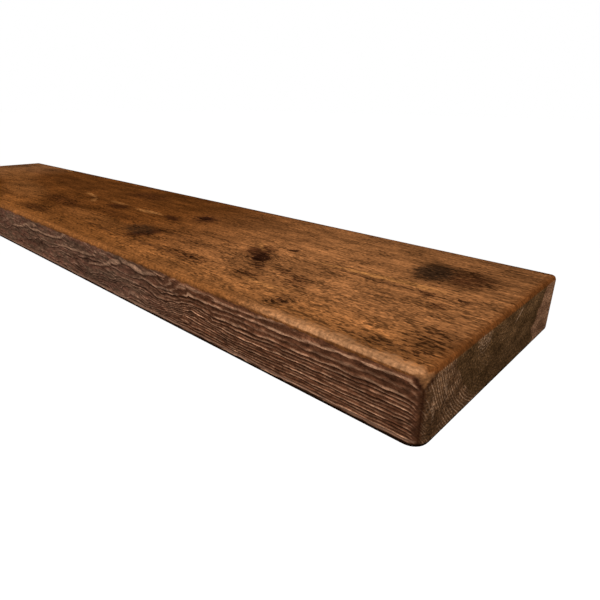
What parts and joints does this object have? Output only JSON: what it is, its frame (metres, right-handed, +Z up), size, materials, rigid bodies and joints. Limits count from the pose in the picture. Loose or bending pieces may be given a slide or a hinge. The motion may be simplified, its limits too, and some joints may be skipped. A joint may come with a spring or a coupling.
{
  "type": "floating wall shelf",
  "caption": "Thick solid wood wall shelf with rounded edges and no visible brackets; it slides onto hidden steel rods that are riveted to small plates screwed to the wall.",
  "frame": {"origin": "on the wall's surface, at the middle of the board's length and thickness", "axes": "+X along the board, to the right as seen from the room; +Y into the wall; +Z up"},
  "size_m": [0.95, 0.2421, 0.045],
  "materials": {
    "stained_wood": "dark stained and waxed softwood, satin",
    "zinc_steel": "zinc plated",
    "screw_steel": "yellow zinc plated",
    "nylon": "moulded grey nylon"
  },
  "bodies": {
    "wall_brackets": {"left_bracket_plate": "zinc_steel", "left_support_rod": "zinc_steel", "left_wall_screws": "screw_steel", "left_wall_plugs": "nylon", "centre_bracket_plate": "zinc_steel", "centre_support_rod": "zinc_steel", "centre_wall_screws": "screw_steel", "centre_wall_plugs": "nylon", "right_bracket_plate": "zinc_steel", "right_support_rod": "zinc_steel", "right_wall_screws": "screw_steel", "right_wall_plugs": "nylon"},
    "shelf": {"shelf_board": "stained_wood"}
  },
  "joints": [
    {"name": "shelf_slide", "type": "slide", "parent": "wall_brackets", "child": "shelf", "axis": [0, -1, 0], "range_m": [0, 0.12]}
  ]
}
